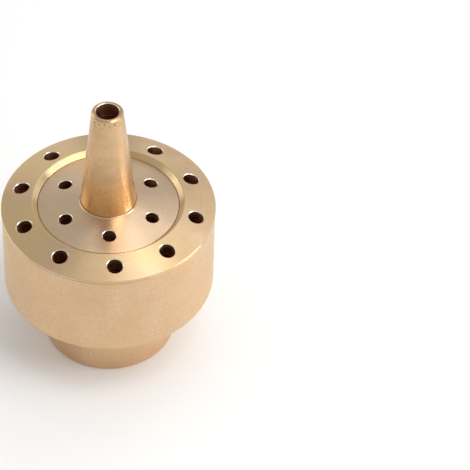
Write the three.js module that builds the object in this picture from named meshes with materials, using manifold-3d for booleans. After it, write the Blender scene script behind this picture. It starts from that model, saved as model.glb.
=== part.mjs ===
/**
 * Multi-jet fountain nozzle in turned brass. Millimetres, +Z up.
 *
 * The origin is the centre of the inlet neck's bottom face, and Z is the axis that every piece is
 * turned about. Three pieces screw into each other from the top: the outer jet ring into the inlet
 * body, the inner jet disc into the ring, and the centre jet into the disc. Each closes on an O-ring.
 */
import * as THREE from 'three';
import { mergeVertices } from 'three/addons/utils/BufferGeometryUtils.js';
import Module from 'manifold-3d';

const wasm = await Module();
wasm.setup();

// ---------------------------------------------------------------------------------------------
// Clearances
// ---------------------------------------------------------------------------------------------
const seatGap = 0.1; // between two metal faces that seat on each other
const slideGap = 0.12; // radial, a plain flange in its recess
const threadPlay = 0.25; // radial, an external thread inside its internal thread
const sealGap = 0.05; // a seal to the walls of its gland
const washerGap = 0.12; // radial, the inlet washer in the thread's bore

// ---------------------------------------------------------------------------------------------
// Threads, right-hand. Depth is radial, crest and flank as shares of the pitch
// ---------------------------------------------------------------------------------------------
const metricDepth = 0.613;
const metricPitch = 1.5;
const inletThread = { major: 33.249, pitch: 2.309, depth: 1.479 }; // parallel pipe thread G 1
const jetThread = metricThread(14);
const crestFlat = 0.125; // width of a ridge's crest, as a share of the pitch
const flankSlope = 0.577; // half width gained for each millimetre of depth, a 60 degree thread
const ridgeSink = 0.08; // how far a ridge's foot goes below the core's surface
const fitTurns = 3.25; // turns that hold the ring, the disc and the centre jet

// ---------------------------------------------------------------------------------------------
// Inlet body: a threaded neck under a wide bowl
// ---------------------------------------------------------------------------------------------
const neckDiameter = 40;
const neckHeight = 20.6;
const neckEdge = 0.4; // chamfer round the neck's bottom
const socketDepth = 17;
const socketLeadIn = 1.75; // chamfer at the thread's mouth
const inletTurns = 5;
const bowlInset = 0.2; // radial, how far the bowl stands back under the ring's lip
const bowlCorner = 2.7; // radius of the bowl's lower edge
const floorThickness = 4;
const chamberCorner = 2;
const waterwayDiameter = 24;
const washerThickness = 2;

// ---------------------------------------------------------------------------------------------
// Outer jet ring: a thick plate with a conical face and a lip over the bowl's rim
// ---------------------------------------------------------------------------------------------
const rimHeight = 51.25; // from the inlet face to the ring's outer edge
const ringDiameter = 65;
const lipThickness = 0.8;
const rimWall = 2.5; // radial, from the ring's outer edge in to its thread, M60 here
const ringSlope = degrees(14);
const ringMouthDiameter = 46; // inner edge of the conical face
const mouthBevel = 1.5; // 45 degree lead-in for the disc
const ringSpigot = 1.85; // plain length between the lip and the thread
const ringSealCord = 1.6;
const outerJetInset = 5.3; // radial, from the ring's outer edge to its circle of jets
const outerJets = { count: 10, bore: 4.8, phase: degrees(3.6), lean: ringSlope };

// ---------------------------------------------------------------------------------------------
// Inner jet disc
// ---------------------------------------------------------------------------------------------
const discSlope = degrees(10);
const discFlange = 1.4;
const discSpigot = 0.4;
const discSealCord = 1.5;
const discThreadStep = 0.5; // radial, from the recess's wall in to the disc's thread, M42 here
const innerJetInset = 6.45; // radial, from the recess's wall to the disc's circle of jets
const innerJets = { count: 6, bore: 4.1, phase: degrees(0.67), lean: discSlope };

// ---------------------------------------------------------------------------------------------
// Centre jet: a tapered tube on a threaded stub
// ---------------------------------------------------------------------------------------------
const jetBaseDiameter = 17;
const jetTipDiameter = 9.4;
const jetLength = 35.15; // from its shoulder to its tip
const jetTipBore = 7;
const jetStubBore = 8.4;
const jetThroat = 12; // straight bore behind the tip
const jetTipEdge = 0.3;
const jetSpigot = 0.6;
const jetSealCord = 1.3;

// ---------------------------------------------------------------------------------------------
// Seals and glands, as shares of the seal's cord
// ---------------------------------------------------------------------------------------------
const glandHeightShare = 0.8;
const glandWidthShare = 1.05;
const noseLength = 0.3; // plain length between a thread and its gland
const landWidth = 0.8; // ledge left inside a gland

// ---------------------------------------------------------------------------------------------
// Facets round the axis, and the drill
// ---------------------------------------------------------------------------------------------
const facets = 36;
const jetFacets = 24;
const boreFacets = 16;
const drillLength = 40; // through any plate, half above its face and half below
const cordFacets = 8;

// ---------------------------------------------------------------------------------------------
// Colours and roughness
// ---------------------------------------------------------------------------------------------
const bodyBrass = { color: 0xc9a878, roughness: 0.38 };
const ringBrass = { color: 0xd0ab6d, roughness: 0.3 };
const discBrass = { color: 0xcbab86, roughness: 0.3 };
const jetBrass = { color: 0xc79a66, roughness: 0.28 };
const sealRubber = { color: 0x17181a, roughness: 0.75 };

// ---------------------------------------------------------------------------------------------
// Helpers
// ---------------------------------------------------------------------------------------------
function degrees(angle) {
  return THREE.MathUtils.degToRad(angle);
}

function metricThread(major) {
  return { major, pitch: metricPitch, depth: metricDepth * metricPitch };
}

/** Points of an arc in an outline, from one angle to another, ends included. */
function arc(centreRadius, centreHeight, radius, from, to, steps = 5) {
  return Array.from({ length: steps + 1 }, (_, i) => {
    const angle = degrees(from + ((to - from) * i) / steps);
    return [centreRadius + radius * Math.cos(angle), centreHeight + radius * Math.sin(angle)];
  });
}

/** A closed solid from a closed geometry. */
function solidOf(geometry) {
  geometry.deleteAttribute('normal');
  geometry.deleteAttribute('uv');
  const merged = mergeVertices(geometry, 1e-5);
  return new wasm.Manifold(
    new wasm.Mesh({
      numProp: 3,
      vertProperties: Float32Array.from(merged.getAttribute('position').array),
      triVerts: Uint32Array.from(merged.index.array),
    })
  );
}

/** A solid turned about Z from a closed outline of [radius, height] points, in either direction. */
function turned(outline, segments = facets) {
  const points = outline.map(([radius, height]) => new THREE.Vector2(radius, height));
  const clockwise = THREE.ShapeUtils.area(points) < 0;
  const loop = clockwise ? points.reverse() : points;
  loop.push(loop[0].clone());
  return solidOf(new THREE.LatheGeometry(loop, segments).rotateX(Math.PI / 2));
}

/**
 * The ridge of a right-hand thread: a helical bar whose middle is at the datum height at step 0,
 * where it faces the front (-Y). Its steps fall on the facets of the piece that it joins or cuts.
 */
function threadRidge({ thread, datum, fromTurn, toTurn, play = 0, segments = facets }) {
  const crest = thread.major / 2 + play;
  const foot = crest - thread.depth - ridgeSink;
  const halfCrest = (crestFlat * thread.pitch) / 2;
  const halfFoot = halfCrest + (crest - foot) * flankSlope;
  const section = [[foot, -halfFoot], [crest, -halfCrest], [crest, halfCrest], [foot, halfFoot]];
  const corners = section.length;
  const firstStep = Math.round(fromTurn * segments);
  const lastStep = Math.round(toTurn * segments);

  const positions = [];
  const triangles = [];
  for (let step = firstStep; step <= lastStep; step++) {
    const angle = (2 * Math.PI * step) / segments;
    const height = datum + (thread.pitch * step) / segments;
    for (const [radius, rise] of section) {
      positions.push(radius * Math.sin(angle), -radius * Math.cos(angle), height + rise);
    }
    if (step === lastStep) break;
    const here = (step - firstStep) * corners;
    for (let corner = 0; corner < corners; corner++) {
      const [a, b] = [here + corner, here + ((corner + 1) % corners)];
      triangles.push(a, a + corners, b, a + corners, b + corners, b);
    }
  }
  const end = (lastStep - firstStep) * corners;
  triangles.push(0, 1, 2, 0, 2, 3, end, end + 2, end + 1, end, end + 3, end + 2);

  const geometry = new THREE.BufferGeometry();
  geometry.setAttribute('position', new THREE.Float32BufferAttribute(positions, 3));
  geometry.setIndex(triangles);
  return solidOf(geometry);
}

/**
 * Where a screwed-in piece and its seat meet, from the face that seats down to the O-ring. Both
 * pieces and the seal take their radii and heights from here.
 */
function screwFit({ thread, seat, spigot, cord }) {
  const crest = thread.major / 2;
  const root = crest - thread.depth;
  const threadTop = seat - spigot;
  const threadBottom = threadTop - fitTurns * thread.pitch;
  const glandTop = threadBottom - noseLength;
  const ledge = glandTop - glandHeightShare * cord;
  const boreRadius = root + threadPlay;
  const rebateRadius = boreRadius - glandWidthShare * cord;
  return {
    thread, seat, crest, root, threadTop, threadBottom, glandTop, ledge, boreRadius, rebateRadius,
    rim: seat - seatGap, // face of the outer piece that carries the seat
    recessRadius: crest + threadPlay,
    bottom: ledge + seatGap, // underside of the screwed-in piece
    landRadius: rebateRadius - landWidth,
  };
}

/** Outline of the screwed-in piece's side, from its seat down to its underside. */
function screwedSide(fit) {
  return [
    [fit.crest, fit.seat],
    [fit.crest, fit.threadTop],
    [fit.root, fit.threadTop - fit.thread.depth],
    [fit.root, fit.glandTop],
    [fit.rebateRadius, fit.glandTop],
    [fit.rebateRadius, fit.bottom],
  ];
}

/** Outline of the bore that receives it, from the rim down to the ledge. */
function screwedBore(fit) {
  return [
    [fit.recessRadius, fit.rim],
    [fit.recessRadius, fit.threadTop - seatGap],
    [fit.boreRadius, fit.threadTop - fit.thread.depth - seatGap],
    [fit.boreRadius, fit.ledge],
    [fit.landRadius, fit.ledge],
  ];
}

/** The external thread of a fit, on whole facets. */
function externalRidge(fit, segments = facets) {
  const halfFoot = fit.thread.pitch / 2;
  return threadRidge({
    thread: fit.thread,
    datum: fit.threadBottom + halfFoot,
    fromTurn: 0,
    toTurn: fitTurns - 0.75,
    segments,
  });
}

/** The groove that the external thread runs in, longer at both ends so that it screws out. */
function internalGroove(fit) {
  const halfFoot = fit.thread.pitch / 2;
  return threadRidge({
    thread: fit.thread,
    datum: fit.threadBottom + halfFoot,
    fromTurn: -0.25,
    toTurn: fitTurns + 0.25,
    play: threadPlay,
  });
}

/** Every jet bore of one circle, square to the conical face that it opens in. */
function jetBores({ count, bore, phase, lean }, circleRadius, height) {
  const bores = [];
  for (let index = 0; index < count; index++) {
    const around = phase + (2 * Math.PI * index) / count;
    const cutter = new THREE.CylinderGeometry(bore / 2, bore / 2, drillLength, boreFacets)
      .rotateX(Math.PI / 2)
      .rotateX(lean)
      .translate(0, -circleRadius, height)
      .rotateZ(around);
    bores.push(solidOf(cutter));
  }
  return bores.reduce((all, next) => all.add(next));
}

/**
 * An O-ring squeezed into its gland: an oval section turned about Z. It stays clear of the corners
 * of the faceted rebate, which turns inside it when the piece above is unscrewed.
 */
function oRing(fit, segments = facets) {
  const outer = fit.boreRadius - sealGap;
  const inner = fit.rebateRadius / Math.cos(Math.PI / segments) + sealGap;
  const halfWidth = (outer - inner) / 2;
  const halfHeight = (fit.glandTop - fit.ledge) / 2 - sealGap;
  const middle = (outer + inner) / 2;
  const height = (fit.glandTop + fit.ledge) / 2;
  const section = Array.from({ length: cordFacets }, (_, i) => {
    const angle = (2 * Math.PI * i) / cordFacets;
    return [middle + halfWidth * Math.cos(angle), height + halfHeight * Math.sin(angle)];
  });
  return turned(section, segments);
}

/** A named mesh of one solid. */
function piece(name, solid, finish, metalness = 1) {
  const { vertProperties, triVerts } = solid.getMesh();
  const geometry = new THREE.BufferGeometry();
  geometry.setAttribute('position', new THREE.Float32BufferAttribute(vertProperties, 3));
  geometry.setIndex(Array.from(triVerts));
  geometry.computeVertexNormals();
  const mesh = new THREE.Mesh(geometry, new THREE.MeshStandardMaterial({ ...finish, metalness }));
  mesh.name = name;
  return mesh;
}

// ---------------------------------------------------------------------------------------------
// Heights and radii that several pieces share
// ---------------------------------------------------------------------------------------------
const ringRadius = ringDiameter / 2;
const mouthRadius = ringMouthDiameter / 2;
const mouthHeight = rimHeight + (ringRadius - mouthRadius) * Math.tan(ringSlope);
const discRecessRadius = mouthRadius - mouthBevel;
const discRimHeight = mouthHeight - mouthBevel;
const discRadius = discRecessRadius - slideGap;
const outerCircle = ringRadius - outerJetInset;
const innerCircle = discRecessRadius - innerJetInset;
const jetSeatHeight = discRimHeight + (discRadius - jetBaseDiameter / 2) * Math.tan(discSlope);

const ringFit = screwFit({
  thread: metricThread(2 * (ringRadius - rimWall)),
  seat: rimHeight - lipThickness,
  spigot: ringSpigot,
  cord: ringSealCord,
});
const discFit = screwFit({
  thread: metricThread(2 * (discRecessRadius - discThreadStep)),
  seat: discRimHeight - discFlange,
  spigot: discSpigot,
  cord: discSealCord,
});
const jetFit = screwFit({
  thread: jetThread, seat: jetSeatHeight + seatGap, spigot: jetSpigot, cord: jetSealCord,
});

// ---------------------------------------------------------------------------------------------
// The pieces
// ---------------------------------------------------------------------------------------------
function inletBody() {
  const neckRadius = neckDiameter / 2;
  const bowlRadius = ringRadius - bowlInset;
  const waterwayRadius = waterwayDiameter / 2;
  const socketRadius = inletThread.major / 2 - inletThread.depth;
  const chamberRadius = ringFit.landRadius;
  const chamberFloor = neckHeight + floorThickness;
  const shell = turned([
    [neckRadius - neckEdge, 0],
    [neckRadius, neckEdge],
    [neckRadius, neckHeight],
    ...arc(bowlRadius - bowlCorner, neckHeight + bowlCorner, bowlCorner, -90, 0),
    [bowlRadius, ringFit.rim],
    ...screwedBore(ringFit),
    ...arc(chamberRadius - chamberCorner, chamberFloor + chamberCorner, chamberCorner, 0, -90, 3),
    [waterwayRadius, chamberFloor],
    [waterwayRadius, socketDepth],
    [socketRadius, socketDepth],
    [socketRadius, socketLeadIn],
    [socketRadius + socketLeadIn, 0],
  ]);
  const inletGroove = threadRidge({
    thread: inletThread, datum: 0, fromTurn: -0.5, toTurn: inletTurns + 0.5,
  });
  return shell.subtract(internalGroove(ringFit)).subtract(inletGroove);
}

function inletWasher() {
  const outer = inletThread.major / 2 - inletThread.depth - washerGap;
  const inner = waterwayDiameter / 2;
  const top = socketDepth - seatGap;
  const bottom = top - washerThickness;
  return turned([[inner, bottom], [outer, bottom], [outer, top], [inner, top]]);
}

function outerJetRing() {
  const plate = turned([
    [ringRadius, rimHeight],
    [mouthRadius, mouthHeight],
    [discRecessRadius, discRimHeight],
    [discRecessRadius, discFit.rim],
    ...screwedBore(discFit),
    [discFit.landRadius, ringFit.bottom],
    ...screwedSide(ringFit).reverse(),
    [ringRadius, ringFit.seat],
  ]);
  const jetMouth = rimHeight + outerJetInset * Math.tan(ringSlope);
  return plate
    .add(externalRidge(ringFit))
    .subtract(internalGroove(discFit))
    .subtract(jetBores(outerJets, outerCircle, jetMouth));
}

function innerJetDisc() {
  const plate = turned([
    [discRadius, discRimHeight],
    [jetBaseDiameter / 2, jetSeatHeight],
    ...screwedBore(jetFit),
    [jetFit.landRadius, discFit.bottom],
    ...screwedSide(discFit).reverse(),
    [discRadius, discFit.seat],
  ]);
  const jetMouth = discRimHeight + (discRadius - innerCircle) * Math.tan(discSlope);
  return plate
    .add(externalRidge(discFit))
    .subtract(internalGroove(jetFit))
    .subtract(jetBores(innerJets, innerCircle, jetMouth));
}

function centreJet() {
  const tip = jetFit.seat + jetLength;
  const tipRadius = jetTipDiameter / 2;
  const throatRadius = jetTipBore / 2;
  const stubRadius = jetStubBore / 2;
  const tube = turned(
    [
      [jetBaseDiameter / 2, jetFit.seat],
      [tipRadius, tip - jetTipEdge],
      [tipRadius - jetTipEdge, tip],
      [throatRadius, tip],
      [throatRadius, tip - jetThroat],
      [stubRadius, jetFit.seat],
      [stubRadius, jetFit.bottom],
      ...screwedSide(jetFit).reverse(),
    ],
    jetFacets
  );
  return tube.add(externalRidge(jetFit, jetFacets));
}

// ---------------------------------------------------------------------------------------------
// The assembly, screwed home
// ---------------------------------------------------------------------------------------------
const nozzle = new THREE.Group();
nozzle.add(
  piece('inlet_body', inletBody(), bodyBrass),
  piece('inlet_washer', inletWasher(), sealRubber, 0),
  piece('outer_jet_ring', outerJetRing(), ringBrass),
  piece('ring_seal', oRing(ringFit), sealRubber, 0),
  piece('inner_jet_disc', innerJetDisc(), discBrass),
  piece('disc_seal', oRing(discFit), sealRubber, 0),
  piece('centre_jet', centreJet(), jetBrass),
  piece('jet_seal', oRing(jetFit, jetFacets), sealRubber, 0)
);

export default nozzle;
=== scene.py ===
"""Looks of a multi-jet fountain nozzle in turned brass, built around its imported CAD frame.

Every metal piece is turned about Z from an outline, its threads are cut as true helices, and its
jets are drilled by Geometry Nodes. The rubber seals are turned too. Sizes are in millimetres in the
dataclasses and are turned to metres when a mesh is made.
"""

import logging
import math
from abc import ABC, abstractmethod
from collections.abc import Iterable, Sequence
from dataclasses import dataclass, replace
from enum import Enum
from typing import ClassVar

import bmesh
import bpy
import numpy as np
from bpy.types import Material, Mesh, Node, NodeSocket, NodeTree, Object
from mathutils import Matrix, Vector


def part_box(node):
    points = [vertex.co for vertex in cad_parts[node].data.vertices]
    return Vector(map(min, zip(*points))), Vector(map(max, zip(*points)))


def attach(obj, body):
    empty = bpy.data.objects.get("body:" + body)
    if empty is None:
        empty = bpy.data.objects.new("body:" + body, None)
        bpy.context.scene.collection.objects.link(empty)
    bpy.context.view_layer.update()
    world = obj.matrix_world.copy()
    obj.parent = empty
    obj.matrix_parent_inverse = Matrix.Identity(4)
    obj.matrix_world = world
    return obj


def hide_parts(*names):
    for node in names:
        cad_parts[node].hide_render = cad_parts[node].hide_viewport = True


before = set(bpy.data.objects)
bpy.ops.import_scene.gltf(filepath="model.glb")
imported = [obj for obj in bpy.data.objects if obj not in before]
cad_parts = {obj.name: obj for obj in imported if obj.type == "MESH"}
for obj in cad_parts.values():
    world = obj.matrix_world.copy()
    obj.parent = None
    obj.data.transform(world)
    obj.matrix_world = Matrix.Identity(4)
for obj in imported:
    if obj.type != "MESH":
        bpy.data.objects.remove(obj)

MM = 0.001
TAU = 2 * math.pi
LOG = logging.getLogger("fountain_nozzle")

COLUMNS = 192  # faces round a wide turned piece
TUBE_COLUMNS = 128  # faces round a slim one
BORE_COLUMNS = 56  # faces round a drilled jet
CONE_ROWS = 12  # rows of faces on a conical face
SIDE_ROWS = 4  # on a plain side or underside
BEVEL_ROWS = 2
UNDER_EDGE = 0.2  # broken inner edge under a drilled plate, in millimetres
SHARP_BEND = math.radians(19)  # edges that bend more stay crisp
ACROSS_MARKS = 0.25  # share of a turn by which highlights stretch across the turning marks
DRILL_STEP = 0.9  # spacing of the marks down a drilled wall, in millimetres
TURNING_MAP = "turning"  # UV map whose U runs round the axis
TOOL_CLIMB = 1.37  # how much height counts beside radius along the tool's path
RINGS_IN_BAND = 14  # turning marks in one of the coarser bands
RING_ROUGHNESS = 0.10  # how much the rings vary the roughness
CLOUD_ROUGHNESS = 0.16  # how much the mottle varies it
GRAIN_RELIEF = 0.35  # height of the grain, as a share of the turning marks
FOOT_BOUNDS = (0.1, 0.6)  # bounds of the mottle where the jet's foot turns a deeper golden tone
SPECK_FADES = (1.0, 0.6)  # millimetres over which the pits thin out, below and above
ON_AXIS = 1e-6  # radius under which a point is on the axis, in millimetres
SAME_POINT = 1e-7  # distance under which two points are one, in metres
UV_SCALE = 100 * MM  # length that fills the turning map once
THREAD_MARGIN = 0.12  # how far past a thread its flanks still count, in millimetres

Colour = tuple[float, float, float]


# Turned outlines and threads -------------------------------------------
class ThreadKind(Enum):
    """Which side of the metal a thread is cut on."""

    EXTERNAL = "external"
    INTERNAL = "internal"


class FreeEnd(Enum):
    """The end of a thread where its mate comes in. The cut fades out at the other one."""

    TOP = "top"
    BOTTOM = "bottom"


@dataclass(frozen=True)
class Thread:
    """A right-hand thread on a stretch of a turned piece, in millimetres.

    The ridge's middle is at the datum height at the front (-Y). An internal thread's groove follows
    the same helix, so that a pair cut from one datum runs together.
    """

    kind: ThreadKind
    pitch: float
    root: float  # radius at the foot of the ridge
    crest: float  # radius at the top of the ridge
    datum: float
    bottom: float
    top: float
    free_end: FreeEnd
    runout: float = 0.6  # length over which the cut fades, at the end that isn't free
    crest_share: float = 0.13
    foot_share: float = 0.84

    def ridge(self, height: np.ndarray, around: np.ndarray) -> np.ndarray:
        """How much of the ridge stands at a place, from 0 in the root to 1 on the crest.

        Args:
            height: Heights in millimetres.
            around: Angles from the front, in radians.

        Returns:
            Shares of the thread's depth.
        """
        turns = (height - self.datum) / self.pitch - around / TAU
        off_centre = np.abs(turns - np.round(turns))
        half_foot, half_crest = self.foot_share / 2, self.crest_share / 2
        share = np.clip((half_foot - off_centre) / (half_foot - half_crest), 0, 1)
        return share * share * (3 - 2 * share) * 0.5 + share * 0.5

    def cut(self, blank: np.ndarray, height: np.ndarray, around: np.ndarray) -> np.ndarray:
        """Radius of the surface once the thread is cut in a blank.

        Args:
            blank: Radius of the uncut piece.
            height: Heights in millimetres.
            around: Angles from the front, in radians.

        Returns:
            Radii in millimetres.
        """
        depth = self.crest - self.root
        standing = self.ridge(height, around)
        past_end = height - self.bottom if self.free_end is FreeEnd.TOP else self.top - height
        full = np.clip(past_end / self.runout, 0, 1)
        if self.kind is ThreadKind.EXTERNAL:
            return np.minimum(blank, self.root + depth * np.maximum(standing, 1 - full))
        return np.maximum(blank, self.root + depth * standing * full)

    def holds(self, radius: float, height: float) -> bool:
        """Whether a point lies in the stretch that the thread takes up."""
        in_height = self.bottom - THREAD_MARGIN <= height <= self.top + THREAD_MARGIN
        return in_height and self.root - THREAD_MARGIN <= radius <= self.crest + THREAD_MARGIN


@dataclass(frozen=True)
class Corner:
    """A corner of a turned outline, and what is done to the stretch that leaves it."""

    radius: float
    height: float
    ease: float = 0.0  # how far back the edge is broken, 0 for none
    rows: int = 1
    thread: Thread | None = None


def arc(
    centre: tuple[float, float], radius: float, start: float, end: float, steps: int
) -> list[Corner]:
    """Corners along an arc of an outline.

    Args:
        centre: Radius and height of the arc's centre.
        radius: The arc's own radius.
        start: First angle in degrees, 0 pointing away from the axis.
        end: Last angle in degrees.
        steps: Number of chords.

    Returns:
        The corners, both ends included.
    """
    angles = np.radians(np.linspace(start, end, steps + 1))
    return [
        Corner(centre[0] + radius * math.cos(a), centre[1] + radius * math.sin(a)) for a in angles
    ]


def eased(outline: Sequence[Corner]) -> list[Corner]:
    """The outline with each eased corner cut back to two.

    Args:
        outline: Corners of a closed outline.

    Returns:
        Corners of the outline with broken edges.
    """
    made = []
    for before, here, after in zip(
        [outline[-1], *outline[:-1]], outline, [*outline[1:], outline[0]], strict=True
    ):
        if not here.ease:
            made.append(here)
            continue
        point = Vector((here.radius, here.height))
        back = (Vector((before.radius, before.height)) - point).normalized() * here.ease
        ahead = (Vector((after.radius, after.height)) - point).normalized() * here.ease
        made.append(Corner(*(point + back)))
        made.append(Corner(*(point + ahead), rows=here.rows, thread=here.thread))
    return made


def filled(corners: Sequence[Corner]) -> list[Corner]:
    """The corners with the rows between them, each with the thread to be cut at its height.

    Args:
        corners: Corners of a closed outline.

    Returns:
        One corner for each row of points.
    """
    made = []
    for here, after in zip(corners, [*corners[1:], corners[0]], strict=True):
        for row in range(here.rows):
            share = row / here.rows
            radius = here.radius + (after.radius - here.radius) * share
            height = here.height + (after.height - here.height) * share
            made.append(Corner(radius, height, thread=here.thread))
    return made


def goes_down_outside(rows: Sequence[Corner]) -> bool:
    """Whether a closed outline runs so that its faces would point inwards."""
    pairs = zip(rows, [*rows[1:], rows[0]], strict=True)
    return sum(r.radius * s.height - s.radius * r.height for r, s in pairs) < 0


def turned(name: str, outline: Sequence[Corner], columns: int = COLUMNS) -> Mesh:
    """A closed mesh turned about Z, its threads cut in it.

    Args:
        name: Name of the mesh.
        outline: Closed outline in millimetres, in either direction.
        columns: Faces round the axis.

    Returns:
        A mesh in metres, its faces pointing out.
    """
    rows = filled(eased(outline))
    around = np.arange(columns) / columns * TAU
    grid = np.zeros((len(rows), columns, 3))
    for points, row in zip(grid, rows, strict=True):
        reach = np.full(columns, row.radius)
        if row.thread is not None:
            reach = row.thread.cut(reach, np.full(columns, row.height), around)
        points[:, 0] = reach * np.sin(around)
        points[:, 1] = -reach * np.cos(around)
        points[:, 2] = row.height
    index = np.arange(len(rows) * columns).reshape(len(rows), columns)
    above, right = np.roll(index, -1, axis=0), np.roll(index, -1, axis=1)
    corner = np.roll(above, -1, axis=1)
    quads = np.stack([index, right, corner, above], axis=-1).reshape(-1, 4)
    if goes_down_outside(rows):
        quads = quads[:, ::-1]
    mesh = bpy.data.meshes.new(name)
    mesh.from_pydata((grid.reshape(-1, 3) * MM).tolist(), [], quads.tolist())
    if min(row.radius for row in rows) < ON_AXIS:
        close_poles(mesh)
    mesh.update()
    return mesh


def placed(name: str, data: bpy.types.ID) -> Object:
    """A new object in the scene, at the origin.

    Args:
        name: Name of the object.
        data: Its mesh, light or camera.

    Returns:
        The object.
    """
    made = bpy.data.objects.new(name, data)
    bpy.context.scene.collection.objects.link(made)
    return made


def close_poles(mesh: Mesh) -> None:
    """Merges the points that lie on the axis of a solid outline.

    Args:
        mesh: The mesh to close, in metres.
    """
    work = bmesh.new()
    work.from_mesh(mesh)
    bmesh.ops.remove_doubles(work, verts=work.verts, dist=SAME_POINT)
    bmesh.ops.dissolve_degenerate(work, edges=work.edges, dist=SAME_POINT / 10)
    work.to_mesh(mesh)
    work.free()


def crisp_edges(mesh: Mesh, threads: Iterable[Thread] = ()) -> None:
    """Shades a mesh smooth, with its corners kept sharp outside its threads.

    Args:
        mesh: The mesh, in metres.
        threads: Threads whose flanks stay smooth.
    """
    threads = tuple(threads)
    work = bmesh.new()
    work.from_mesh(mesh)
    for face in work.faces:
        face.smooth = True
    for edge in work.edges:
        bend = edge.calc_face_angle(0.0)
        if bend <= SHARP_BEND:
            edge.smooth = True
            continue
        middle = (edge.verts[0].co + edge.verts[1].co) / 2 / MM
        radius = math.hypot(middle.x, middle.y)
        edge.smooth = any(thread.holds(radius, middle.z) for thread in threads)
    work.to_mesh(mesh)
    work.free()


def lathe_map(mesh: Mesh) -> None:
    """Gives a mesh a UV map whose U runs round the axis, as the turning marks do.

    Args:
        mesh: The mesh, in metres.
    """
    layer = mesh.uv_layers.new(name=TURNING_MAP)
    points = np.zeros(len(mesh.vertices) * 3)
    mesh.vertices.foreach_get("co", points)
    points = points.reshape(-1, 3)
    angle = np.arctan2(points[:, 0], -points[:, 1]) / TAU
    along = np.hypot(points[:, 0], points[:, 1]) + points[:, 2]
    values = np.zeros((len(mesh.loops), 2))
    for face in mesh.polygons:
        loops = list(face.loop_indices)
        turns = angle[list(face.vertices)]
        turns = turns + (turns < turns.max() - 0.5)
        values[loops, 0] = turns
        values[loops, 1] = along[list(face.vertices)] / UV_SCALE
    layer.data.foreach_set("uv", values.ravel())


# Node trees ------------------------------------------------------------
@dataclass(frozen=True)
class Pattern:
    """A noise texture, and the bounds between which it turns from nothing to full."""

    scale: float  # cells for a metre, 1 along a line that is already scaled
    detail: float
    roughness: float = 0.5
    bounds: tuple[float, float] = (0.0, 1.0)

    def sockets(self) -> dict[str, float]:
        """The texture node's settings by socket name."""
        return {"Scale": self.scale, "Detail": self.detail, "Roughness": self.roughness}


CLOUD = Pattern(95.0, 5.0, 0.62, (0.3, 0.7))
GRAIN = Pattern(1500.0, 3.0, 0.6, (0.35, 0.68))
PATCHES = Pattern(60.0, 2.0, bounds=(0.38, 0.62))
PITS = Pattern(1150.0, 2.0, bounds=(0.66, 0.72))
RINGS = Pattern(1.0, 3.0, 0.6, (0.3, 0.75))
BANDS = Pattern(1.0, 2.0, 0.6, (0.3, 0.7))
DRILL_MARKS = Pattern(1.0, 2.0, 0.6, (0.5, 0.62))
BLOOM = Pattern(420.0, 4.0, bounds=(0.45, 0.75))
RUBBER_GRAIN = Pattern(3200.0, 2.0)
FLOOR_TOOTH = Pattern(40.0, 3.0)


class NodeBench:
    """Adds nodes to one tree and joins them in the same call."""

    def __init__(self, tree: NodeTree) -> None:
        """Takes the tree to work on."""
        self.tree = tree

    def fill(self, node: Node, inputs: dict) -> None:
        """Sets or links a node's inputs.

        Args:
            node: The node.
            inputs: Values or sockets by input name or index.
        """
        for key, value in inputs.items():
            if isinstance(value, NodeSocket):
                self.tree.links.new(value, node.inputs[key])
            else:
                node.inputs[key].default_value = value

    def node(self, kind: str, inputs: dict | None = None, **settings: object) -> Node:
        """Adds a node.

        Args:
            kind: The node's type name.
            inputs: Values or sockets by input name or index.
            settings: The node's own properties.

        Returns:
            The new node.
        """
        made = self.tree.nodes.new(kind)
        for key, value in settings.items():
            setattr(made, key, value)
        self.fill(made, inputs or {})
        return made

    def math(self, operation: str, first: object, second: object = 0.0) -> NodeSocket:
        """A Math node's output for two values or sockets."""
        return self.node("ShaderNodeMath", {0: first, 1: second}, operation=operation).outputs[0]

    def product(self, first: object, second: object) -> NodeSocket:
        """Two values or sockets multiplied."""
        return self.math("MULTIPLY", first, second)

    def total(self, first: object, second: object) -> NodeSocket:
        """Two values or sockets added."""
        return self.math("ADD", first, second)

    def less(self, first: object, second: object) -> NodeSocket:
        """The first value or socket less the second."""
        return self.math("SUBTRACT", first, second)

    def ramp(self, value: object, low: float, high: float) -> NodeSocket:
        """A smooth step of a value, from 0 at the low bound to 1 at the high one."""
        inputs = {"Value": value, "From Min": low, "From Max": high}
        made = self.node("ShaderNodeMapRange", inputs, interpolation_type="SMOOTHSTEP")
        return made.outputs["Result"]

    def mix(self, share: object, first: object, second: object) -> NodeSocket:
        """A blend of two colours."""
        made = self.node("ShaderNodeMix", data_type="RGBA")
        for index, value in ((0, share), (6, first), (7, second)):
            self.fill(made, {index: (*value, 1.0) if isinstance(value, tuple) else value})
        return made.outputs[2]

    def noise(self, place: object, pattern: Pattern) -> NodeSocket:
        """A pattern in space."""
        return self.node("ShaderNodeTexNoise", {"Vector": place, **pattern.sockets()}).outputs[0]

    def rings(self, along: object, spacing: float, pattern: Pattern) -> NodeSocket:
        """A pattern along one line, which gives rings on a turned face."""
        inputs = {"W": self.math("DIVIDE", along, spacing), **pattern.sockets()}
        return self.node("ShaderNodeTexNoise", inputs, noise_dimensions="1D").outputs[0]

    def share(self, value: object, pattern: Pattern, most: float = 1.0) -> NodeSocket:
        """A pattern stepped between its bounds, from 0 to the most that it may count."""
        return self.product(self.ramp(value, *pattern.bounds), most)

    def swing(self, value: object, width: float) -> NodeSocket:
        """A pattern as a swing of a given width about zero."""
        return self.product(self.less(value, 0.5), width)


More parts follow.
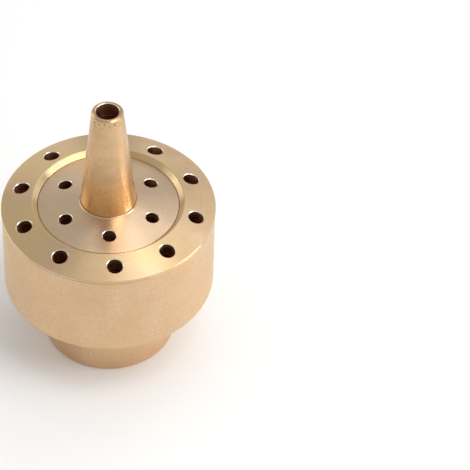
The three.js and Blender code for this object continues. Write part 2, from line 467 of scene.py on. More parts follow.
class FinishBench(NodeBench):
    """The bench of one new material, with its surface and the coordinates it reads."""

    def __init__(self, name: str) -> None:
        """Starts the material."""
        self.material = bpy.data.materials.new(name)
        self.material.use_nodes = True
        super().__init__(self.material.node_tree)
        self.surface = self.tree.nodes["Principled BSDF"]
        self.place = self.node("ShaderNodeTexCoord").outputs["Object"]

    def finish(self, inputs: dict) -> Material:
        """Sets the surface's inputs and hands over the material."""
        self.fill(self.surface, inputs)
        return self.material

    def bump(self, height: object, strength: float, depth_mm: float) -> NodeSocket:
        """A normal that is tilted by a relief."""
        inputs = {"Height": height, "Strength": strength, "Distance": depth_mm * MM}
        return self.node("ShaderNodeBump", inputs).outputs[0]


# Finishes --------------------------------------------------------------
@dataclass(frozen=True)
class BoreShade:
    """Where drilled or bored metal lies, so that shade can be painted on its walls and a highlight on
    its broken edge, in millimetres.
    """

    circle: float  # radius of the circle at the mouth, 0 for a bore on the axis
    half_width: float
    mouth: float  # height of the mouth
    lean: float = 0.0  # slope of the bore and fall of the face round it, as a tangent
    edge: tuple[float, float] = (0.02, 0.24)  # depths between which its broken edge gets a painted highlight
    fade: tuple[float, float] = (0.3, 2.0)  # depth at which the shade begins and is full
    edge_start: float = 2.0  # times its first depth, where the edge is full
    edge_end: float = 1.3  # times its last depth, where it is gone

    def masks(
        self, bench: NodeBench, radius: NodeSocket, height: NodeSocket
    ) -> tuple[NodeSocket, NodeSocket]:
        """Where shade is painted on the bore's wall, and where a highlight is painted on its broken
        edge.

        Args:
            bench: The tree's bench.
            radius: Distance from the axis in millimetres.
            height: Height in millimetres.

        Returns:
            A mask of the painted shade on the bore's wall and one of the painted highlight on its
            edge.
        """
        fall = bench.product(bench.less(radius, self.circle), self.lean)
        depth = bench.less(bench.less(self.mouth, fall), height)
        centre = bench.less(self.circle, bench.product(depth, self.lean))
        off_centre = bench.math("ABSOLUTE", bench.less(radius, centre))
        near = bench.math("LESS_THAN", off_centre, self.half_width)
        first, last = self.edge
        edge = bench.less(
            bench.ramp(depth, first, self.edge_start * first),
            bench.ramp(depth, last, self.edge_end * last),
        )
        # painted shade that deepens with depth down the bore
        wall = bench.ramp(depth, *self.fade)
        return bench.product(near, wall), bench.product(near, edge)


@dataclass(frozen=True)
class TurnedFace:
    """The patterns that lathe work leaves, and where a point of it lies in millimetres."""

    radius: NodeSocket
    height: NodeSocket
    rings: NodeSocket
    bands: NodeSocket
    cloud: NodeSocket
    grain: NodeSocket


@dataclass(frozen=True)
class TurnedBrass:
    """Brass off the lathe: fine rings and a soft mottle, with shade painted inside its bores and a
    highlight painted on their edges.
    """

    name: str
    light: Colour
    deep: Colour
    roughness: float
    anisotropy: float
    ring_step: float  # spacing of the turning marks, in millimetres
    ring_depth: float  # height of the turning marks, in millimetres
    ring_tint: float = 0.25  # how much the rings vary the colour
    mottle: float = 0.6
    golden: Colour = (0.76, 0.55, 0.26)  # tone that the metal drifts towards in soft patches
    drift: float = 0.55
    speckle: float = 0.35  # how much a fine grain darkens it
    foot_tone: Colour = (0.78, 0.49, 0.22)
    foot_band: tuple[float, float] | None = None  # heights between which that tone fades out
    # painted shade that darkens the bores' walls
    bore_painted_shade: Colour = (0.45, 0.17, 0.08)
    bore_mark: Colour = (0.88, 0.52, 0.33)  # the rubbed marks a drill leaves on its wall
    bore_rough: float = 0.08  # how much rougher the drill leaves its wall
    rim_painted_highlight: Colour = (1.0, 0.93, 0.78)  # painted highlight on the broken edges of the bores
    bores: tuple[BoreShade, ...] = ()
    pit_tone: Colour = (0.17, 0.11, 0.04)
    specks: float = 0.0  # how many small dark pits there are
    speck_band: tuple[float, float] = (0.0, 0.0)  # heights between which they lie

    def material(self) -> Material:
        """Builds the finish's material.

        Returns:
            A node material that reads object coordinates and the turning UV map.
        """
        bench = FinishBench(self.name)
        face = self._face(bench)
        colour = self._metal(bench, face)
        rough = bench.total(
            bench.swing(face.rings, RING_ROUGHNESS), bench.swing(face.cloud, CLOUD_ROUGHNESS)
        )
        marks = bench.rings(face.height, DRILL_STEP, DRILL_MARKS)
        # painted shade of a bore's wall, with lighter drill marks through it
        wall = bench.mix(bench.ramp(marks, *DRILL_MARKS.bounds), self.bore_painted_shade, self.bore_mark)
        for bore in self.bores:
            # painted shade on each bore's wall and painted highlight on its broken edge
            inside, rim = bore.masks(bench, face.radius, face.height)
            # painted highlight on the bore's broken edge
            colour = bench.mix(rim, colour, self.rim_painted_highlight)
            colour = bench.mix(inside, colour, wall)
            rough = bench.total(rough, bench.product(inside, self.bore_rough))
        relief = bench.total(face.rings, bench.product(face.grain, GRAIN_RELIEF))
        tangent = bench.node("ShaderNodeTangent", direction_type="UV_MAP", uv_map=TURNING_MAP)
        return bench.finish(
            {
                "Base Color": colour,
                "Metallic": 1.0,
                "Roughness": bench.total(rough, self.roughness),
                "Anisotropic": self.anisotropy,
                "Anisotropic Rotation": ACROSS_MARKS,
                "Tangent": tangent.outputs[0],
                "Normal": bench.bump(relief, 1.0, self.ring_depth),
            }
        )

    def _face(self, bench: FinishBench) -> TurnedFace:
        """Lays the lathe's patterns on the metal.

        Args:
            bench: The material's bench.

        Returns:
            The patterns.
        """
        split = bench.node("ShaderNodeSeparateXYZ", {0: bench.place}).outputs
        flat = bench.node("ShaderNodeCombineXYZ", {0: split[0], 1: split[1]}).outputs[0]
        radius = bench.node("ShaderNodeVectorMath", {0: flat}, operation="LENGTH").outputs["Value"]
        radius = bench.product(radius, 1 / MM)
        height = bench.product(split[2], 1 / MM)
        tool_path = bench.total(radius, bench.product(height, TOOL_CLIMB))
        return TurnedFace(
            radius,
            height,
            bench.rings(tool_path, self.ring_step, RINGS),
            bench.rings(tool_path, self.ring_step * RINGS_IN_BAND, BANDS),
            bench.noise(bench.place, CLOUD),
            bench.noise(bench.place, GRAIN),
        )

    def _metal(self, bench: FinishBench, face: TurnedFace) -> NodeSocket:
        """The metal's colour outside its bores.

        Args:
            bench: The material's bench.
            face: The lathe's patterns.

        Returns:
            The colour.
        """
        ringed = bench.share(face.rings, RINGS, self.ring_tint)
        banded = bench.share(face.bands, BANDS, self.ring_tint)
        clouded = bench.share(face.cloud, CLOUD, self.mottle)
        depth = bench.math("MINIMUM", bench.total(clouded, bench.total(ringed, banded)), 1.0)
        colour = bench.mix(depth, self.light, self.deep)
        patches = bench.noise(bench.place, PATCHES)
        colour = bench.mix(bench.share(patches, PATCHES, self.drift), colour, self.golden)
        colour = bench.mix(bench.share(face.grain, GRAIN, self.speckle), colour, self.deep)
        if self.foot_band is not None:
            foot = bench.less(1.0, bench.ramp(face.height, *self.foot_band))
            patched = bench.product(foot, bench.ramp(face.cloud, *FOOT_BOUNDS))
            colour = bench.mix(patched, colour, self.foot_tone)
        if self.specks:
            colour = bench.mix(self._pits(bench, face.height), colour, self.pit_tone)
        return colour

    def _pits(self, bench: FinishBench, height: NodeSocket) -> NodeSocket:
        """Small dark pits in one band of heights.

        Args:
            bench: The material's bench.
            height: Height in millimetres.

        Returns:
            A mask of the pits.
        """
        low, high = self.speck_band
        fade_in, fade_out = SPECK_FADES
        band = bench.product(
            bench.ramp(height, low, low + fade_in),
            bench.less(1.0, bench.ramp(height, high - fade_out, high)),
        )
        few, many = PITS.bounds
        spots = bench.ramp(bench.noise(bench.place, PITS), few - self.specks, many)
        return bench.product(spots, band)


@dataclass(frozen=True)
class MouldedRubber:
    """Matt black rubber with a faint bloom."""

    name: str
    colour: Colour = (0.022, 0.022, 0.024)
    bloom: Colour = (0.060, 0.060, 0.062)
    roughness: float = 0.62
    roughness_swing: float = 0.16
    grain_strength: float = 0.5
    grain_depth: float = 0.01  # millimetres

    def material(self) -> Material:
        """Builds the finish's material.

        Returns:
            A node material that reads object coordinates.
        """
        bench = FinishBench(self.name)
        cloud = bench.noise(bench.place, BLOOM)
        grain = bench.noise(bench.place, RUBBER_GRAIN)
        return bench.finish(
            {
                "Base Color": bench.mix(
                    bench.ramp(cloud, *BLOOM.bounds), self.colour, self.bloom
                ),
                "Roughness": bench.total(
                    bench.swing(cloud, self.roughness_swing), self.roughness
                ),
                "Normal": bench.bump(grain, self.grain_strength, self.grain_depth),
            }
        )


@dataclass(frozen=True)
class PaleFloor:
    """A matt, nearly white surface with a trace of tooth."""

    name: str = "pale_floor"
    colour: Colour = (0.96, 0.96, 0.96)
    dimming: float = 0.985
    roughness: float = 0.9
    specular: float = 0.1

    def material(self) -> Material:
        """Builds the floor's material.

        Returns:
            A matt node material.
        """
        bench = FinishBench(self.name)
        tooth = bench.noise(bench.place, FLOOR_TOOTH)
        dimmed = tuple(channel * self.dimming for channel in self.colour)
        return bench.finish(
            {
                "Base Color": bench.mix(tooth, self.colour, dimmed),
                "Roughness": self.roughness,
                "Specular IOR Level": self.specular,
            }
        )


# Drilled jets, by Geometry Nodes ---------------------------------------
@dataclass(frozen=True)
class JetCircle:
    """A circle of leaning jets drilled through a turned plate, in millimetres and radians."""

    count: int
    circle: float  # radius of the circle at the mouths
    bore: float  # radius of each jet
    lean: float  # also the slope of the cone, so that each jet is square to it
    phase: float
    mouth: float = 0.0  # height of the mouths
    deburr: float = 0.22  # width of the broken edge round each mouth
    cone: float = 0.88  # height of the cone that breaks it
    reach: float = 30.0  # length of the drill, more than any plate

    def shade(self) -> BoreShade:
        """Where the jets lie, for the finish that paints shade in them and a highlight on their
        edges.
        """
        width = self.bore / math.cos(self.lean) + self.deburr
        return BoreShade(self.circle, width, self.mouth, math.tan(self.lean))

    def drill(self) -> Object:
        """The drill with its deburring cone, point down, its mouth at the origin.

        Returns:
            A scratch object that is removed once the plate is drilled.
        """
        outline = [
            Corner(0, -self.reach),
            Corner(self.bore, -self.reach, rows=3),
            Corner(self.bore, -self.deburr),
            Corner(self.bore + self.cone, self.cone - self.deburr),
            Corner(0, self.cone - self.deburr),
        ]
        made = placed("drill", turned("drill", outline, BORE_COLUMNS))
        return made

    @staticmethod
    def tree() -> NodeTree:
        """The node tree that drills a circle of jets through the plate it is given.

        Returns:
            A Geometry Nodes tree whose inputs are the circle's sizes, in metres and radians.
        """
        made = bpy.data.node_groups.new("jet_circle", "GeometryNodeTree")
        sockets = (
            ("Plate", "Geometry"),
            ("Drill", "Object"),
            ("Count", "Int"),
            ("Circle Radius", "Float"),
            ("Mouth Height", "Float"),
            ("Lean", "Float"),
            ("Phase", "Float"),
            ("Finish", "Material"),
        )
        for label, kind in sockets:
            made.interface.new_socket(label, in_out="INPUT", socket_type=f"NodeSocket{kind}")
        made.interface.new_socket("Plate", in_out="OUTPUT", socket_type="NodeSocketGeometry")
        bench = NodeBench(made)
        given = bench.node("NodeGroupInput").outputs

        step = bench.math("DIVIDE", TAU, given["Count"])
        index = bench.node("GeometryNodeInputIndex").outputs[0]
        angle = bench.total(given["Phase"], bench.product(index, step))
        across = bench.product(given["Circle Radius"], bench.math("SINE", angle))
        back = bench.product(given["Circle Radius"], bench.math("COSINE", angle))
        front = bench.product(back, -1.0)
        place = bench.node(
            "ShaderNodeCombineXYZ", {0: across, 1: front, 2: given["Mouth Height"]}
        ).outputs[0]
        points = bench.node("GeometryNodePoints", {"Count": given["Count"], "Position": place})
        turn = bench.node("ShaderNodeCombineXYZ", {0: given["Lean"], 2: angle}).outputs[0]
        turn = bench.node("FunctionNodeEulerToRotation", {"Euler": turn}).outputs[0]
        drill = bench.node("GeometryNodeObjectInfo", {"Object": given["Drill"]})
        drills = bench.node(
            "GeometryNodeInstanceOnPoints",
            {"Points": points.outputs[0], "Instance": drill.outputs["Geometry"], "Rotation": turn},
        ).outputs[0]
        drills = bench.node("GeometryNodeRealizeInstances", {"Geometry": drills}).outputs[0]
        drilled = bench.node(
            "GeometryNodeMeshBoolean",
            {"Mesh 1": given["Plate"], "Mesh 2": drills},
            operation="DIFFERENCE",
            solver="MANIFOLD",
        ).outputs[0]
        whole = bench.node("GeometryNodeRealizeInstances", {"Geometry": drilled}).outputs[0]
        dressed = bench.node(
            "GeometryNodeSetMaterial", {"Geometry": whole, "Material": given["Finish"]}
        ).outputs[0]
        bench.node("NodeGroupOutput", {"Plate": dressed})
        return made

    def cut(self, plate: Mesh, finish: Material) -> Mesh:
        """Drills the jets through a plate.

        Args:
            plate: The turned plate, in metres.
            finish: The plate's material.

        Returns:
            The drilled plate as a plain mesh.
        """
        drill = self.drill()
        blank = placed("blank", plate)
        modifier = blank.modifiers.new("jets", "NODES")
        modifier.node_group = self.tree()
        values = {
            "Drill": drill,
            "Count": self.count,
            "Circle Radius": self.circle * MM,
            "Mouth Height": self.mouth * MM,
            "Lean": self.lean,
            "Phase": self.phase,
            "Finish": finish,
        }
        for item in modifier.node_group.interface.items_tree:
            if item.in_out == "INPUT" and item.name in values:
                modifier[item.identifier] = values[item.name]
        depsgraph = bpy.context.evaluated_depsgraph_get()
        made = bpy.data.meshes.new_from_object(blank.evaluated_get(depsgraph))
        blank.modifiers.remove(modifier)
        bpy.data.objects.remove(blank)
        bpy.data.objects.remove(drill)
        return made


# What the pieces share -------------------------------------------------
SEAT_GAP = 0.1  # between two metal faces that seat on each other
THREAD_PLAY = 0.25  # radial, an external thread in its internal thread
SEAL_GAP = 0.05  # a seal to the walls of its gland


@dataclass(frozen=True)
class Box:
    """The space that a CAD node takes up, in millimetres."""

    radius: float
    bottom: float
    top: float

    @classmethod
    def of(cls, node: str) -> "Box":
        """Reads a node's box from the frame.

        Args:
            node: Name of a CAD node that is round about Z.

        Returns:
            Its outer radius and its heights.
        """
        low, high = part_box(node)
        return cls(high.x / MM, low.z / MM, high.z / MM)


@dataclass(frozen=True)
class ScrewFit:
    """A screwed joint between two turned pieces, closed by an O-ring, in millimetres.

    The seal's own box fixes the gland, and the thread stands on the gland.
    """

    seal: Box
    major: float
    pitch: float
    spigot: float  # plain length over the thread
    turns: float = 3.25
    nose: float = 0.3  # plain length between the thread and the gland
    depth_share: float = 0.613
    gland_height: float = 0.8  # as a share of the cord
    gland_width: float = 1.05
    land: float = 0.8  # ledge left inside the gland
    edge: float = 0.12  # width of its broken edges
    gland_edge: float = 0.1
    relief: float = 0.1  # how far the internal thread starts under the gland's top
    fade: float = 0.45  # length over which the internal thread fades out
    row: float = 0.09  # height of a row of faces on a thread

    @property
    def crest(self) -> float:
        """Radius over the external thread."""
        return self.major / 2

    @property
    def root(self) -> float:
        """Radius at the foot of the external thread."""
        return self.crest - self.depth_share * self.pitch

    @property
    def ledge(self) -> float:
        """Height of the ledge that the seal lies on."""
        return self.seal.bottom - SEAL_GAP

    @property
    def gland_top(self) -> float:
        """Height of the face that squeezes the seal."""
        return self.seal.top + SEAL_GAP

    @property
    def thread_bottom(self) -> float:
        """Height at which the thread starts."""
        return self.gland_top + self.nose

    @property
    def thread_top(self) -> float:
        """Height at which the thread ends."""
        return self.thread_bottom + self.turns * self.pitch

    @property
    def seat(self) -> float:
        """Height of the screwed-in piece's seating face."""
        return self.thread_top + self.spigot

    @property
    def rebate(self) -> float:
        """Radius of the screwed-in piece inside the seal."""
        cord = (self.gland_top - self.ledge) / self.gland_height
        return self.root + THREAD_PLAY - self.gland_width * cord

    @property
    def bottom(self) -> float:
        """Height of the screwed-in piece's underside."""
        return self.ledge + SEAT_GAP

    def _rows(self, length: float) -> int:
        """Rows of faces for a threaded stretch."""
        return max(1, math.ceil(length / self.row))

    def thread(self, kind: ThreadKind) -> Thread:
        """One side of the thread.

        Args:
            kind: External for the screwed-in piece, internal for the one that receives it.

        Returns:
            The thread, on the helix that both sides share.
        """
        datum = self.thread_bottom + self.pitch / 2
        outside = Thread(
            kind,
            self.pitch,
            self.root,
            self.crest,
            datum,
            self.gland_top,
            self.thread_top,
            FreeEnd.BOTTOM,
        )
        if kind is ThreadKind.EXTERNAL:
            return outside
        return replace(
            outside,
            root=self.root + THREAD_PLAY,
            crest=self.crest + THREAD_PLAY,
            bottom=self.gland_top - self.relief,
            top=self.seat,
            free_end=FreeEnd.TOP,
            runout=self.fade,
        )

    def side(self) -> list[Corner]:
        """The screwed-in piece's side, from its underside up to its seat.

        Returns:
            Corners of an outline that goes up.
        """
        cut = self.thread(ThreadKind.EXTERNAL)
        lead = self.crest - self.root
        full = self.thread_bottom + lead
        return [
            Corner(self.rebate, self.bottom, ease=self.edge),
            Corner(self.rebate, self.gland_top),
            Corner(self.root, self.gland_top, ease=self.gland_edge),
            Corner(self.root, self.thread_bottom, rows=self._rows(lead), thread=cut),
            Corner(self.crest, full, rows=self._rows(self.thread_top - full), thread=cut),
            Corner(self.crest, self.thread_top),
            Corner(self.crest, self.seat),
        ]

    def bore(self) -> list[Corner]:
        """The bore that receives it, from the rim down to the edge of the ledge.

        Returns:
            Corners of an outline that goes down.
        """
        cut = self.thread(ThreadKind.INTERNAL)
        wide, narrow = cut.crest, cut.root
        mouth = self.thread_top - SEAT_GAP
        lead = mouth - (wide - narrow)
        return [
            Corner(wide, self.seat - SEAT_GAP, ease=self.edge),
            Corner(wide, mouth, rows=self._rows(wide - narrow), thread=cut),
            Corner(narrow, lead, rows=self._rows(lead - cut.bottom), thread=cut),
            Corner(narrow, cut.bottom),
            Corner(narrow, self.ledge),
            Corner(self.rebate - self.land, self.ledge, ease=self.edge),
        ]


@dataclass(frozen=True)
class ORing:
    """A moulded O-ring squeezed into its gland, in millimetres."""

    name: str
    node: str
    body: str
    fit: ScrewFit
    steps: int = 40
    flash: float = 0.035  # height of the moulding line, inside and outside
    flatness: float = 2.5  # 2 for an ellipse, more where the gland has pressed it flat

    def build(self, finish: Material) -> Object:
        """Builds the seal.

        Args:
            finish: The rubber.

        Returns:
            The finished piece, on its body.
        """
        inner = self.fit.rebate + SEAL_GAP
        half_width = (self.fit.seal.radius - inner) / 2
        half_height = (self.fit.seal.top - self.fit.seal.bottom) / 2
        middle = inner + half_width
        height = self.fit.seal.bottom + half_height
        outline = []
        for step in range(self.steps):
            angle = TAU * step / self.steps
            across, up = math.cos(angle), math.sin(angle)
            reach = (abs(across) ** self.flatness + abs(up) ** self.flatness) ** (-1 / self.flatness)
            on_line = step % (self.steps // 2) == 0
            line = 1.0 if on_line else 1 - self.flash / half_width
            outline.append(
                Corner(middle + half_width * across * reach * line, height + half_height * up * reach)
            )
        mesh = turned(self.name, outline)
        return fitted(mesh, self.name, finish, self.body, self.node)


def fitted(
    mesh: Mesh,
    name: str,
    finish: Material,
    body: str,
    node: str,
    threads: Iterable[Thread] = (),
) -> Object:
    """Makes a finished piece of a mesh and puts it on its CAD body.

    Args:
        mesh: The piece's mesh, in metres and in place.
        name: Name of the piece.
        finish: Its material.
        body: CAD body that it rides on.
        node: CAD node that it stands for.
        threads: Threads on the piece, which stay smooth.

    Returns:
        The piece's object.
    """
    mesh.materials.clear()
    mesh.materials.append(finish)
    for polygon in mesh.polygons:
        polygon.material_index = 0
    crisp_edges(mesh, threads)
    lathe_map(mesh)
    piece = placed(name, mesh)
    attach(piece, body)
    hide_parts(node)
    LOG.info("%s: %d faces on body %s", name, len(mesh.polygons), body)
    return piece


# Sub-assemblies --------------------------------------------------------
@dataclass
class InletBody:
    """The bowl with its threaded neck, and the washer in its socket, in millimetres."""

    fit: ScrewFit
    finish: TurnedBrass
    rubber: Material
    neck_radius: float = 20.0
    neck_height: float = 20.6
    neck_edge: float = 0.4
    shoulder: float = 2.7  # radius of the bowl's outer corner
    shoulder_steps: int = 14
    floor: float = 4.0
    chamber_corner: float = 2.0
    chamber_steps: int = 8
    waterway: float = 12.0
    waterway_edges: tuple[float, float] = (0.4, 0.3)  # in the chamber and in the socket
    socket_depth: float = 17.0
    lead_in: float = 1.75
    pipe_major: float = 33.249
    pipe_pitch: float = 2.309
    pipe_depth: float = 1.479
    pipe_threaded: float = 13.4
    pipe_runout: float = 1.6
    row: float = 0.13
    rim_edge: float = 0.28
    washer_edge: float = 0.2

    def build(self) -> list[Object]:
        """The body and the washer."""
        return [self._body(), self._washer()]

    def _pipe_thread(self) -> Thread:
        """The inlet's thread."""
        crest = self.pipe_major / 2
        return Thread(
            kind=ThreadKind.INTERNAL,
            pitch=self.pipe_pitch,
            root=crest - self.pipe_depth,
            crest=crest,
            datum=0.0,
            bottom=0.0,
            top=self.pipe_threaded,
            free_end=FreeEnd.BOTTOM,
            runout=self.pipe_runout,
        )

    def _body(self) -> Object:
        """The bowl and neck, turned in one."""
        box = Box.of("inlet_body")
        thread = self._pipe_thread()
        bore = thread.root
        floor = self.neck_height + self.floor
        outer, inner = self.shoulder, self.chamber_corner
        outer_centre = (box.radius - outer, self.neck_height + outer)
        inner_centre = (self.fit.rebate - self.fit.land - inner, floor + inner)
        upper_edge, lower_edge = self.waterway_edges
        outline = [
            Corner(self.neck_radius - self.neck_edge, 0),
            Corner(self.neck_radius, self.neck_edge, rows=SIDE_ROWS),
            Corner(self.neck_radius, self.neck_height),
            *arc(outer_centre, outer, -90, 0, self.shoulder_steps),
            Corner(box.radius, box.top, ease=self.rim_edge),
            *self.fit.bore(),
            *arc(inner_centre, inner, 0, -90, self.chamber_steps),
            Corner(self.waterway, floor, ease=upper_edge),
            Corner(self.waterway, self.socket_depth, ease=lower_edge),
            Corner(bore, self.socket_depth),
            Corner(bore, self.pipe_threaded, rows=self._rows(self.pipe_threaded), thread=thread),
            Corner(bore, self.lead_in, rows=self._rows(self.lead_in), thread=thread),
            Corner(bore + self.lead_in, 0),
        ]
        mesh = turned("turned_body", outline)
        threads = (thread, self.fit.thread(ThreadKind.INTERNAL))
        finish = self.finish.material()
        return fitted(mesh, "turned_body", finish, "inlet", "inlet_body", threads)

    def _rows(self, length: float) -> int:
        """Rows of faces on a stretch of the pipe thread."""
        return math.ceil(length / self.row)

    def _washer(self) -> Object:
        """The flat washer that a pipe's end seals on."""
        box = Box.of("inlet_washer")
        corners = (
            (self.waterway, box.bottom),
            (box.radius, box.bottom),
            (box.radius, box.top),
            (self.waterway, box.top),
        )
        mesh = turned("flat_washer", [Corner(*at, ease=self.washer_edge) for at in corners])
        return fitted(mesh, "flat_washer", self.rubber, "inlet", "inlet_washer")


@dataclass
class Screwed(ABC):
    """A turned piece that screws into the one below it and squeezes an O-ring."""

    label: ClassVar[str]  # name of its body
    fit: ScrewFit
    finish: TurnedBrass
    rubber: Material

    def build(self) -> list[Object]:
        """The piece and its O-ring."""
        label = self.label
        seal = ORing(f"{label}_o_ring", f"{label}_seal", f"{label}_lifter", self.fit)
        return [self.piece(), seal.build(self.rubber)]

    @abstractmethod
    def piece(self) -> Object:
        """The turned piece."""


@dataclass
class DrilledCone(Screwed):
    """A conical plate with a circle of jets square to its face, in millimetres."""

    node: ClassVar[str]
    jets: ClassVar[JetCircle]
    cone_top: ClassVar[float]  # radius at which its cone ends
    rim_edge: ClassVar[float]  # widths of its broken outer edges
    seat_edge: ClassVar[float]
    inner_fit: ScrewFit  # of the piece that screws into it

    @abstractmethod
    def mouth(self, top: float) -> list[Corner]:
        """Corners from the top of its cone down to the bore inside it."""

    def piece(self) -> Object:
        """The drilled plate."""
        box = Box.of(self.node)
        rise = math.tan(self.jets.lean)
        rim = box.top - (box.radius - self.cone_top) * rise
        inner = self.inner_fit
        outline = [
            Corner(box.radius, rim, ease=self.rim_edge, rows=CONE_ROWS),
            *self.mouth(box.top),
            *inner.bore(),
            Corner(inner.rebate - inner.land, self.fit.bottom, ease=UNDER_EDGE, rows=SIDE_ROWS),
            *self.fit.side(),
            Corner(box.radius, self.fit.seat, ease=self.seat_edge),
        ]
        jets = replace(self.jets, mouth=rim + (box.radius - self.jets.circle) * rise)
        name = f"jet_{self.label}"
        # shade painted in the jets and a highlight painted on their edges
        finish = replace(self.finish, bores=(jets.shade(),)).material()
        mesh = jets.cut(turned(name, outline), finish)
        threads = (self.fit.thread(ThreadKind.EXTERNAL), inner.thread(ThreadKind.INTERNAL))
        return fitted(mesh, name, finish, self.label, self.node, threads)


@dataclass
class OuterRing(DrilledCone):
    """The conical ring with the outer circle of jets, in millimetres."""

    label = "ring"
    node = "outer_jet_ring"
    jets = JetCircle(10, 27.2, 2.4, lean=math.radians(14), phase=math.radians(3.6))
    cone_top = 23.0
    rim_edge = 0.1
    seat_edge = 0.14
    bevel: float = 1.5
    bevel_edges: tuple[float, float] = (0.14, 0.05)  # at its top and at its foot

    def mouth(self, top: float) -> list[Corner]:
        """The bevel and the recess that the disc lies in."""
        recess = self.cone_top - self.bevel
        upper_edge, foot_edge = self.bevel_edges
        return [
            Corner(self.cone_top, top, ease=upper_edge, rows=BEVEL_ROWS),
            Corner(recess, top - self.bevel, ease=foot_edge),
            Corner(recess, self.inner_fit.seat - SEAT_GAP),
        ]


@dataclass
class InnerDisc(DrilledCone):
    """The shallow cone with the inner circle of jets, in millimetres."""

    label = "disc"
    node = "inner_jet_disc"
    jets = JetCircle(6, 15.05, 2.05, lean=math.radians(10), phase=math.radians(0.67))
    cone_top = 8.5
    rim_edge = 0.08
    seat_edge = 0.08
    lip_clearance: float = 0.06
    lip_width: float = 0.26
    lip_height: float = 0.18
    lip_edge: float = 0.06

    def mouth(self, top: float) -> list[Corner]:
        """The lip that stands round the foot of the tube."""
        bore = self.cone_top + self.lip_clearance
        outer = bore + self.lip_width
        foot = outer + self.lip_height
        return [
            Corner(foot, top - (foot - self.cone_top) * math.tan(self.jets.lean)),
            Corner(outer, top + self.lip_height, ease=self.lip_edge),
            Corner(bore, top + self.lip_height, ease=self.lip_edge),
            Corner(bore, top),
        ]


@dataclass
class CentreJet(Screwed):
    """The tapered tube in the middle, in millimetres."""

    label = "jet"
    base: float = 8.5
    tip: float = 4.7
    tip_bore: float = 3.5
    stub_bore: float = 4.2
    throat: float = 12.0
    throat_rows: int = 8
    taper_rows: int = 30
    tip_edge: float = 0.42
    mouth_edge: float = 0.2
    foot_edge: float = 0.1
    stub_edge: float = 0.15
    mouth_highlight_depths: tuple[float, float] = (0.01, 0.14)  # depths of the painted highlight at its mouth

    def piece(self) -> Object:
        """The tapered tube on its threaded stub."""
        top = Box.of("centre_jet").top
        outline = [
            Corner(self.base, self.fit.seat, ease=self.foot_edge, rows=self.taper_rows),
            Corner(self.tip, top, ease=self.tip_edge),
            Corner(self.tip_bore, top, ease=self.mouth_edge, rows=SIDE_ROWS),
            Corner(self.tip_bore, top - self.throat, rows=self.throat_rows),
            Corner(self.stub_bore, self.fit.seat),
            Corner(self.stub_bore, self.fit.bottom, ease=self.stub_edge),
            *self.fit.side(),
        ]
        mesh = turned("jet_tube", outline, TUBE_COLUMNS)
        half_wall = (self.tip_bore + self.tip) / 2
        # shade painted down the throat and a highlight painted on the mouth's broken edge
        mouth = BoreShade(circle=0.0, half_width=half_wall, mouth=top, edge=self.mouth_highlight_depths)
        finish = replace(self.finish, bores=(mouth,)).material()
        threads = (self.fit.thread(ThreadKind.EXTERNAL),)
        return fitted(mesh, "jet_tube", finish, self.label, "centre_jet", threads)


# Studio ----------------------------------------------------------------
@dataclass(frozen=True)
class SoftBox:
    """A square studio light that looks at the nozzle."""

    name: str
    azimuth: float  # degrees round from the front, towards the right
    elevation: float  # degrees
    power: float  # watts
    distance: float = 0.9  # metres
    size: float = 0.45  # metres

    def build(self, target: Vector) -> Object:
        """Makes the light.

        Args:
            target: The point that it looks at.

        Returns:
            The light's object.
        """
        data = bpy.data.lights.new(self.name, "AREA")
        data.shape = "SQUARE"
        data.size = self.size
        data.energy = self.power
        made = placed(self.name, data)
        azimuth, elevation = math.radians(self.azimuth), math.radians(self.elevation)
        level = math.cos(elevation)
        outward = Vector(
            (math.sin(azimuth) * level, -math.cos(azimuth) * level, math.sin(elevation))
        )
        made.location = target + outward * self.distance
        made.rotation_euler = (-outward).to_track_quat("-Z", "Y").to_euler()
        return made


@dataclass(frozen=True)
class ProductCamera:
    """A long lens that looks down at the nozzle and leaves it at the left of the frame."""

    lens: float = 216.8  # millimetres
    distance: float = 0.858  # metres
    elevation: float = math.radians(44.52)
    roll: float = math.radians(0.61)
    aim_across: float = 0.0004  # metres from the target, to the left
    aim_up: float = 0.00824  # metres from the target, downwards
    turn_aside: float = math.radians(2.58)
    clips: tuple[float, float] = (0.05, 20.0)  # metres

    def build(self, target: Vector) -> Object:
        """Makes the camera.

        Args:
            target: Middle of the bowl's rim.

        Returns:
            The camera's object.
        """
        data = bpy.data.cameras.new("product_camera")
        data.lens = self.lens
        data.clip_start, data.clip_end = self.clips
        made = placed("product_camera", data)
        right = Vector((1, 0, 0))
        up = Vector((0, math.sin(self.elevation), math.cos(self.elevation)))
        ahead = Vector((0, math.cos(self.elevation), -math.sin(self.elevation)))
        place = target - right * self.aim_across - up * self.aim_up - ahead * self.distance
        tilted_right = right * math.cos(self.roll) - up * math.sin(self.roll)
        tilted_up = right * math.sin(self.roll) + up * math.cos(self.roll)
        aside_ahead = ahead * math.cos(self.turn_aside) + tilted_right * math.sin(self.turn_aside)
        aside_right = tilted_right * math.cos(self.turn_aside) - ahead * math.sin(self.turn_aside)
        axes = Matrix((aside_right, tilted_up, -aside_ahead)).transposed().to_4x4()
        made.matrix_world = Matrix.Translation(place) @ axes
        bpy.context.scene.camera = made
        return made


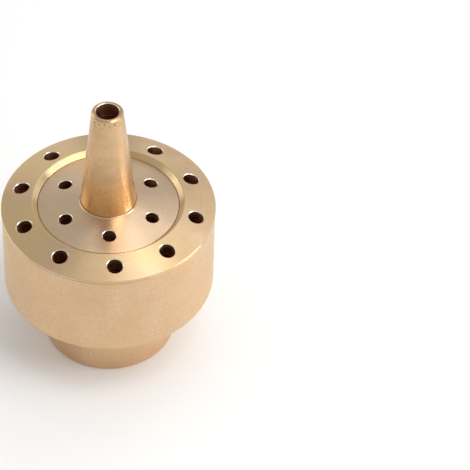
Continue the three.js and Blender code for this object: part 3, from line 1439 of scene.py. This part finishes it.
@dataclass(frozen=True)
class Studio:
    """A pale floor, a soft bright room, soft boxes and the camera."""

    floor_size: float = 6.0
    room: Colour = (1.0, 1.0, 1.0)
    room_strength: float = 0.56
    lights: tuple[SoftBox, ...] = (
        SoftBox("key_front_right", 60, 64, 2.51),
        SoftBox("side_right", 60, 38, 0.80),
        SoftBox("low_right", 80, 12, 3.16),
        SoftBox("low_back_right", 120, 12, 0.34),
        SoftBox("back_right", 140, 38, 0.31),
        SoftBox("low_back", 160, 12, 0.27),
        SoftBox("back_top", 160, 64, 0.64),
        SoftBox("back_left", 200, 12, 0.25),
        SoftBox("low_left", 240, 12, 0.60),
        SoftBox("side_left", 260, 12, 0.50),
    )

    def build(self, target: Vector) -> None:
        """Makes the floor, the room, the lights and the camera.

        Args:
            target: Middle of the bowl's rim.
        """
        self._floor()
        self._room()
        for light in self.lights:
            light.build(target)
        ProductCamera().build(target)
        bpy.context.scene.view_settings.view_transform = "Standard"

    def _floor(self) -> None:
        """The surface that the nozzle stands on."""
        half = self.floor_size / 2
        mesh = bpy.data.meshes.new("studio_floor")
        corners = [(-half, -half, 0), (half, -half, 0), (half, half, 0), (-half, half, 0)]
        mesh.from_pydata(corners, [], [(0, 1, 2, 3)])
        mesh.materials.append(PaleFloor().material())
        floor = placed("studio_floor", mesh)

    def _room(self) -> None:
        """An even, bright surrounding."""
        world = bpy.data.worlds.new("soft_room")
        world.use_nodes = True
        background = world.node_tree.nodes["Background"]
        background.inputs["Color"].default_value = (*self.room, 1.0)
        background.inputs["Strength"].default_value = self.room_strength
        bpy.context.scene.world = world


def main() -> None:
    """Builds the nozzle's sub-assemblies in order, then the studio round them."""
    logging.basicConfig(level=logging.INFO, format="%(name)s %(message)s")
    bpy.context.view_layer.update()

    ring_fit = ScrewFit(Box.of("ring_seal"), major=60, pitch=1.5, spigot=1.85)
    disc_fit = ScrewFit(Box.of("disc_seal"), major=42, pitch=1.5, spigot=0.4)
    tube_fit = ScrewFit(Box.of("jet_seal"), major=14, pitch=1.5, spigot=0.6)
    rubber = MouldedRubber("seal_rubber_black").material()
    body_brass = TurnedBrass(
        "body_brass_satin",
        light=(0.76, 0.56, 0.37),
        deep=(0.66, 0.44, 0.25),
        roughness=0.42,
        anisotropy=0.5,
        ring_step=0.11,
        ring_depth=0.004,
        ring_tint=0.12,
        golden=(0.75, 0.53, 0.30),
        speckle=0.7,
    )
    ring_brass = TurnedBrass(
        "ring_brass_satin",
        light=(0.75, 0.55, 0.355),
        deep=(0.66, 0.45, 0.25),
        roughness=0.30,
        anisotropy=0.75,
        ring_step=0.09,
        ring_depth=0.003,
        ring_tint=0.16,
        golden=(0.71, 0.53, 0.27),
        drift=0.75,
    )
    disc_brass = TurnedBrass(
        "disc_brass_satin",
        light=(0.74, 0.56, 0.40),
        deep=(0.65, 0.47, 0.31),
        roughness=0.28,
        anisotropy=0.8,
        ring_step=0.09,
        ring_depth=0.003,
        ring_tint=0.16,
        golden=(0.72, 0.53, 0.33),
        drift=0.45,
    )
    jet_brass = TurnedBrass(
        "jet_brass_satin",
        light=(0.74, 0.55, 0.36),
        deep=(0.60, 0.39, 0.21),
        roughness=0.27,
        anisotropy=0.78,
        ring_step=0.16,
        ring_depth=0.005,
        ring_tint=0.22,
        mottle=0.9,
        golden=(0.70, 0.47, 0.24),
        speckle=0.6,
        foot_band=(54.0, 74.0),
        specks=0.12,
        speck_band=(86.0, 89.4),
    )
    assemblies = (
        InletBody(ring_fit, body_brass, rubber),
        OuterRing(ring_fit, ring_brass, rubber, disc_fit),
        InnerDisc(disc_fit, disc_brass, rubber, tube_fit),
        CentreJet(tube_fit, jet_brass, rubber),
    )
    for assembly in assemblies:
        for piece in assembly.build():
            LOG.info("built %s", piece.name)

    body_top = Box.of("inlet_body").top
    Studio().build(Vector((0, 0, body_top * MM)))


if __name__ == "__main__":
    main()
